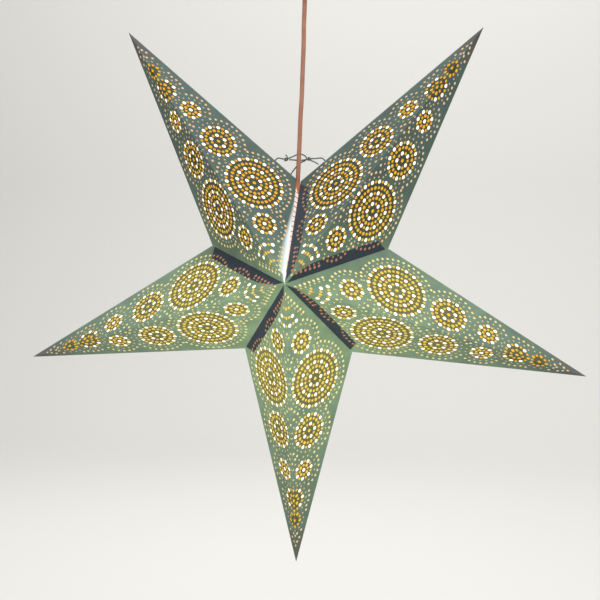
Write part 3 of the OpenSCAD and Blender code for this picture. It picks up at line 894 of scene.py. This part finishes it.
def hem_section(index):
    """The last point's tab is folded back under its own card."""
    return [
        (index, 1, 0.1, 0.3, 3, 4), (index, 1, 0.9, STRIP_TOP, 4, 5),
        (index, 1, STRIP_EDGE, STRIP_TOP, 16.5, 15), (index, 1, STRIP_EDGE, STRIP_BOTTOM, 16.5, 15),
        (index, 1, 0.1, STRIP_BOTTOM, 3, 4),
    ]


def seam_flap(index, y_side):
    """The first point's flap leans inwards across the seam."""
    angle = HALF_ANGLE - math.asin(SEAM_LEFT / NOTCH_R)
    slope = -(OUTWARD[0] * math.cos(angle) + OUTWARD[2] * math.sin(angle)) / OUTWARD[1]
    stretch = math.hypot(1, slope)
    line = np.array([math.cos(angle), slope, math.sin(angle)]) / stretch
    side = np.array([-math.sin(angle), 0.0, math.cos(angle)])
    inward = np.cross(side, line)
    lean = math.cos(FLAP_LEAN) * inward + math.sin(FLAP_LEAN) * side
    face = np.cross(line, lean)
    foot = PEAK + FLAP_FOOT_IN * inward - FLAP_FOOT_ASIDE * side
    start, end, narrow = FLAP_START * stretch, FLAP_END * stretch, FLAP_TAPER * stretch
    outline = [(start, 0), (end, 0), (end - narrow, FLAP_W), (start + FLAP_W / 2, FLAP_W)]
    chains = []
    for depth in (0.0, CARD_T):
        places = [foot + along * line + away * lean - depth * face for along, away in outline]
        chains.append([into_row(index, (q * [1, y_side, -1])[None])[0] for q in places])
    return plate([along for along, away in outline] * 2, chains)


print("strip edge", STRIP_EDGE, "mm, lean", round(LEAN, 3))

# %% [markdown]
# Card finishes. The printed face is a grey green. Towards the tip it fades to plain grey: painted shade
# where the lamp hardly reaches. In the rosettes the card is darker and more olive: painted shade among the
# dots. Where a tab doubles the card, hardly any lamplight comes through, so the strip is a dark blue.
# All three share one recipe: grain, worn folds and light from the lamp behind.
# Beside the open seam the lamp lights the card's edge white, in a band that widens towards the peak.


# %% Card finishes
SEAM_LIGHT = (0.9, 0.96, 0.98, 1.0)
WORN = tint(160, 176, 168)


# the tip colour is painted shade: plain grey where the lamp hardly reaches
def card_finish(name, print_and_shade_colour, lit_colour, reach, tip=tint(88, 89, 88)):
    material, tree, shader = new_material(name, 0.78, Emission_Strength=1.0)
    grain = use_group(tree, paper_grain)
    cloud = fade(tree, grain["Tone"], 0.34, 0.66)
    dark = tuple(0.84 * c for c in print_and_shade_colour[:3]) + (1.0,)
    light = tuple(1.16 * c for c in print_and_shade_colour[:3]) + (1.0,)
    colour = mix_colours(tree, cloud, dark, light)
    along = attribute(tree, "along_mm")
    # painted shade: towards the tip the card fades to plain grey, where the lamp hardly reaches
    colour = mix_colours(tree, fade(tree, along, 262.0, 300.0), colour, tip)
    on_ridge = use_group(tree, fold_wear, Distance=attribute(tree, "ridge_mm"), Width=0.9)["Mask"]
    on_fold = use_group(tree, fold_wear, Distance=attribute(tree, "fold_mm"), Width=1.1)["Mask"]
    worn = calc(tree, "MULTIPLY", calc(tree, "MAXIMUM", on_ridge, on_fold), 0.22)
    wire(tree, shader.inputs["Base Color"], mix_colours(tree, worn, colour, WORN))
    glow = use_group(tree, lamp_glow, Reach=reach, Shade_above=1.0)["Glow"]
    glow = calc(tree, "MULTIPLY", glow, calc(tree, "ADD", calc(tree, "MULTIPLY", cloud, 0.5), 0.75))
    lit = mix_colours(tree, glow, (0.0, 0.0, 0.0, 1.0), lit_colour)
    reach_out = calc(tree, "MULTIPLY", fade(tree, along, 90.0, 20.0), 10.0)
    by_seam = fade(tree, attribute(tree, "seam_mm"), calc(tree, "ADD", reach_out, 1.0), 0.0)
    by_seam = calc(tree, "MULTIPLY", by_seam, fade(tree, along, 90.0, 45.0))
    wire(tree, shader.inputs["Emission Color"], mix_colours(tree, by_seam, lit, SEAM_LIGHT))
    rough = calc(tree, "ADD", calc(tree, "MULTIPLY", grain["Tone"], 0.2), 0.68)
    wire(tree, shader.inputs["Roughness"], rough)
    add_bump(tree, shader, grain["Height"], 0.00012, 0.45)
    return material


card_face = card_finish("card_face", tint(84, 104, 97), tint(126, 150, 106), 0.30)
# painted shade: the card among the rosette dots is darker and more olive
card_rosette_shaded = card_finish("card_rosette_shaded", tint(66, 70, 50), tint(124, 124, 64), 0.31)
card_strip = card_finish("card_strip", tint(50, 61, 72), tint(26, 34, 38), 0.2)
print("made three card finishes")


# %% Plain paper finishes
def paper_finish(name, shade, lit_colour, variation=0.12):
    material, tree, shader = new_material(name, 0.85, Emission_Strength=1.0)
    grain = use_group(tree, paper_grain, Fibre_scale=1100.0)
    dark = tuple((1 - variation) * c for c in shade[:3]) + (1.0,)
    light = tuple(min(1.0, (1 + variation) * c) for c in shade[:3]) + (1.0,)
    cloud = fade(tree, grain["Tone"], 0.35, 0.65)
    wire(tree, shader.inputs["Base Color"], mix_colours(tree, cloud, dark, light))
    glow = use_group(tree, lamp_glow, Reach=0.42, Shade_above=0.3)["Glow"]
    wire(tree, shader.inputs["Emission Color"], mix_colours(tree, glow, (0.0, 0.0, 0.0, 1.0), lit_colour))
    add_bump(tree, shader, grain["Height"], 0.0001, 0.3)
    return material


cut_edge = paper_finish("cut_edge", tint(150, 146, 116), tint(150, 120, 60))
card_inside = paper_finish("card_inside", tint(200, 182, 150), tint(190, 160, 110))
glued_tab = paper_finish("glued_tab", tint(176, 122, 104), tint(150, 96, 78))
seam_paper = paper_finish("seam_paper", tint(222, 206, 200), tint(214, 190, 184))
print("made the plain paper finishes")

# %% [markdown]
# The seam's flap is pale, with a short dark mark every few millimetres. The marks come from the
# distance along the flap: its fraction of one spacing is compared with the share that a mark takes up.

# %% Marks on the seam's flap
MARK_SPACING, MARK_SHARE = 6.4, 0.14
MARK_COLOUR = (0.01, 0.012, 0.015, 1.0)

tree = seam_paper.node_tree
shader = tree.nodes["Principled BSDF"]
along = attribute(tree, "along_mm")
marks = calc(tree, "FRACT", calc(tree, "DIVIDE", along, MARK_SPACING))
marks = calc(tree, "MULTIPLY", calc(tree, "LESS_THAN", marks, MARK_SHARE), fade(tree, along, 40.0, 60.0))
for label in ("Base Color", "Emission Color"):
    unmarked = shader.inputs[label].links[0].from_socket
    wire(tree, shader.inputs[label], mix_colours(tree, marks, unmarked, MARK_COLOUR))
print("marked the seam's flap every", MARK_SPACING, "mm")

# %% [markdown]
# Tissue finishes. Thin tissue lights up evenly behind each dot, so it is given its own light, bright near
# the bulb and weaker towards the tips. The tissue is printed: white under the white dots, amber under the
# ring dots and peach under the borders.


# %% Tissue finishes
def tissue_finish(name, body_colour, near_colour, far_colour):
    material, tree, shader = new_material(name, 0.9, Emission_Strength=1.5)
    grain = use_group(tree, paper_grain, Fibre_scale=500.0, Mottle_scale=90.0)
    cloud = fade(tree, grain["Tone"], 0.3, 0.7)
    pale = tuple(1.1 * c for c in body_colour)
    wire(tree, shader.inputs["Base Color"], mix_colours(tree, cloud, body_colour, pale))
    glow = use_group(tree, lamp_glow, Reach=0.34, Shade_above=0.75)["Glow"]
    lit = mix_colours(tree, fade(tree, glow, 0.1, 0.7), far_colour, near_colour)
    uneven = mix_colours(tree, calc(tree, "MULTIPLY", cloud, 0.18), lit, (0.05, 0.035, 0.01, 1.0))
    wire(tree, shader.inputs["Emission Color"], uneven)
    add_bump(tree, shader, grain["Height"], 0.00008, 0.4)
    material.cycles.emission_sampling = "NONE"
    return material


TISSUE = [
    tissue_finish("tissue_white", tint(150, 148, 136), tint(250, 247, 222), tint(247, 244, 230)),
    tissue_finish("tissue_amber", tint(110, 74, 16), tint(208, 184, 80), tint(200, 151, 22)),
    tissue_finish("tissue_amber_small", tint(110, 74, 16), tint(204, 180, 80), tint(195, 147, 26)),
    tissue_finish("tissue_peach", tint(116, 100, 84), tint(211, 206, 136), tint(192, 162, 128)),
    tissue_finish("tissue_peach_small", tint(112, 96, 80), tint(196, 190, 126), tint(172, 148, 118)),
]
tissue_inside = paper_finish("tissue_inside", tint(214, 196, 160), tint(220, 200, 150))
card_materials = [card_face, card_rosette_shaded, card_strip, cut_edge, card_inside, glued_tab, seam_paper]
for material in card_materials + [tissue_inside]:
    material.cycles.emission_sampling = "NONE"
print("made", len(TISSUE) + 1, "tissue finishes")

# %% [markdown]
# Each point's card is folded from its two sides, and its strips are added. The tissue lining is folded the
# same way a little deeper in, without holes. Each face of the tissue takes the colour of its nearest dot.

# %% The five points
NAMES = ["top_left", "left", "bottom", "right", "top_right"]
FAR = 20.0
FACE, ROSETTE, STRIP, CUT_EDGE, INSIDE, GLUED, SEAM = range(len(card_materials))


def card_label(facet):
    """The finish of each triangle of a facet's card."""
    return np.where(facet.in_strip, STRIP, np.where(facet.in_rosette, ROSETTE, FACE))


def left_of_seam(points):
    """Which points lie on the seam's side of a slanting line through the star's middle."""
    return points[:, 0] >= STAR_X * MM - 0.5 * (points[:, 2] - STAR[2] * MM)


def strips_of(index):
    """The strips of one point: their plates and finishes."""
    if index == 4:
        notch = FACETS["seam_right"].notch
        return [(valley_strip(hem_section(index), notch, side), GLUED) for side in (1, -1)]
    plates = [(valley_strip(tab_section(index), NOTCH_UV, side), GLUED) for side in (1, -1)]
    if index == 0:
        plates += [(seam_flap(index, side), SEAM) for side in (1, -1)]
    return plates


for index, name in enumerate(NAMES):
    plus = FACETS["seam_right" if index == 4 else "plain"]
    minus = FACETS["seam_left" if index == 0 else "tabbed"]
    sides = [(plus, 1), (minus, -1)]
    points, faces, labels, drawn = fold_sheet(sides, 0.0, CARD_T, lambda f: f.card, card_label, True)
    finishes = np.select([labels == -1, labels == -2], [INSIDE, CUT_EDGE], labels).tolist()
    points = into_row(index, points)
    seam = np.full(len(points), FAR)
    if index == 0:
        seam = np.where(left_of_seam(points), np.minimum(drawn[:, 2], FAR), FAR)
    values = [drawn[:, 0], drawn[:, 1], drawn[:, 3], seam]
    for (more, more_faces, along), finish in strips_of(index):
        faces += [tuple(k + len(points) for k in face) for face in more_faces]
        finishes += [finish] * len(more_faces)
        points = np.concatenate([points, more])
        far = np.full(len(more), FAR)
        values = [np.concatenate(pair) for pair in zip(values, (far, far, along, far))]
    card = make_piece(
        "card_" + name, points, faces, card_materials, ["point_" + name], face_materials=finishes,
    )
    for label, value in zip(("ridge_mm", "fold_mm", "along_mm", "seam_mm"), values):
        remember(card, label, value)
    points, faces, labels, drawn = fold_sheet(
        sides, CARD_T + GLUE_T, CARD_T + GLUE_T + TISSUE_T, lambda f: f.lined, lambda f: f.kind, False,
    )
    finishes = np.where(labels < 0, len(TISSUE), labels)
    make_piece(
        "lining_" + name, into_row(index, points), faces, TISSUE + [tissue_inside],
        ["tissue_" + name], face_materials=finishes,
    )
    print(name, "card:", len(card.data.polygons), "faces, lining:", len(faces), "faces")

# %% [markdown]
# The lamp holder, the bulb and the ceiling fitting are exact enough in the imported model, so they keep their
# shape and only get finishes: moulded plastic with a fine grain, brass, zinc-plated steel and frosted glass.


# %% Finishes of the holder, the bulb and the ceiling fitting
def moulded(name, shade, roughness):
    material, tree, shader = new_material(name, roughness)
    texture = noise(tree, own_place(tree), 900.0, 3.0)
    cloud = noise(tree, own_place(tree), 40.0, 3.0)
    dark = tuple(0.93 * c for c in shade[:3]) + (1.0,)
    wire(tree, shader.inputs["Base Color"], mix_colours(tree, fade(tree, cloud, 0.35, 0.65), dark, shade))
    rough = calc(tree, "ADD", calc(tree, "MULTIPLY", cloud, 0.15), roughness - 0.07)
    wire(tree, shader.inputs["Roughness"], rough)
    add_bump(tree, shader, texture, 0.00006, 0.4)
    return material


def bare_metal(name, shade, roughness):
    material, tree, shader = new_material(name, roughness, Metallic=1.0)
    scratches = noise(tree, own_place(tree), 1500.0, 4.0)
    stain = noise(tree, own_place(tree), 120.0, 3.0)
    dark = tuple(0.7 * c for c in shade[:3]) + (1.0,)
    wire(tree, shader.inputs["Base Color"], mix_colours(tree, fade(tree, stain, 0.35, 0.7), shade, dark))
    rough = calc(tree, "ADD", calc(tree, "MULTIPLY", scratches, 0.25), roughness - 0.1)
    wire(tree, shader.inputs["Roughness"], rough)
    add_bump(tree, shader, scratches, 0.00003, 0.4)
    return material


white_plastic = moulded("white_plastic", tint(236, 236, 231), 0.35)
insulator = moulded("insulator", tint(228, 222, 206), 0.6)
brass = bare_metal("brass", tint(214, 176, 96), 0.35)
zinc = bare_metal("zinc", tint(190, 192, 196), 0.4)

frosted, tree, shader = new_material("frosted_glass", 0.6, Emission_Strength=1.0)
cloud = noise(tree, own_place(tree), 60.0, 3.0)
wire(tree, shader.inputs["Base Color"], mix_colours(tree, cloud, tint(236, 230, 214), tint(250, 246, 236)))
lit = mix_colours(tree, cloud, tint(255, 236, 196), tint(255, 244, 220))
wire(tree, shader.inputs["Emission Color"], lit)
add_bump(tree, shader, noise(tree, own_place(tree), 1200.0), 0.00004, 0.3)

FINISH_OF = {
    "holder_grip": white_plastic, "holder_cap": white_plastic, "holder_shell": white_plastic,
    "holder_insert": insulator, "lamp_screw_shell": brass, "lamp_contact": brass, "bulb": frosted,
    "ceiling_cup": white_plastic, "ceiling_bracket": zinc, "cup_grip": white_plastic, "cup_screws": zinc,
    "terminal_block": insulator,
}
for name, material in FINISH_OF.items():
    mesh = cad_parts[name].data
    mesh.materials.clear()
    mesh.materials.append(material)
print("finished", len(FINISH_OF), "packed nodes")

# %% [markdown]
# The studio is plain: a pale floor well below the lantern, which turns up into a pale wall behind it, and
# soft light from all round with a slightly stronger side, so that folds and strips read clearly.


# %% Floor and wall
def studio_cove():
    low, back, bend, top, front, half_width, steps = -1.35, 4.2, 1.2, 3.4, -4.0, 5.0, 12
    profile = [(front, low), (back - bend, low)]
    for step in range(1, steps + 1):
        turn = math.radians(90 * step / steps)
        profile.append((back - bend + bend * math.sin(turn), low + bend - bend * math.cos(turn)))
    profile.append((back, top))
    points, faces = [], []
    for y, z in profile:
        points += [(-half_width, y, z), (half_width, y, z)]
    for k in range(len(profile) - 1):
        faces.append((2 * k, 2 * k + 1, 2 * k + 3, 2 * k + 2))
    mesh = bpy.data.meshes.new("studio_cove")
    mesh.from_pydata(points, [], faces)
    mesh.polygons.foreach_set("use_smooth", np.full(len(faces), True))
    cove = bpy.data.objects.new("studio_cove", mesh)
    bpy.context.scene.collection.objects.link(cove)
    material, tree, shader = new_material("studio_paint", 0.9)
    wire(tree, shader.inputs["Base Color"], tint(222, 221, 217))
    mesh.materials.append(material)


studio_cove()
print("made the studio's floor and wall")


# %% Light
def soft_lamp(name, place, aim, size, power):
    data = bpy.data.lights.new(name, "AREA")
    data.shape = "SQUARE"
    data.size = size
    data.energy = power
    lamp = bpy.data.objects.new(name, data)
    bpy.context.scene.collection.objects.link(lamp)
    lamp.location = place
    lamp.rotation_euler = (Vector(aim) - Vector(place)).to_track_quat("-Z", "Y").to_euler()
    lamp.visible_camera = False


SKY_STRENGTH = 0.54
middle = (STAR_X * MM, 0.0, -DROP * MM)
soft_lamp("key", (1.3, -1.7, 2.2), middle, 1.6, 44.0)
soft_lamp("fill", (-2.3, -1.6, 0.7), middle, 2.2, 7.0)
soft_lamp("rear", (-0.6, 2.2, 0.6), middle, 2.0, 9.0)
soft_lamp("backdrop", (0.0, 1.2, 2.8), (0.0, 4.2, -0.4), 3.0, 95.0)

bpy.context.scene.view_settings.view_transform = "Standard"
world = bpy.data.worlds.new("studio")
bpy.context.scene.world = world
world.use_nodes = True
sky = world.node_tree.nodes["Background"]
sky.inputs["Color"].default_value = (1.0, 1.0, 1.0, 1.0)
sky.inputs["Strength"].default_value = SKY_STRENGTH
print("made four lamps and the sky")
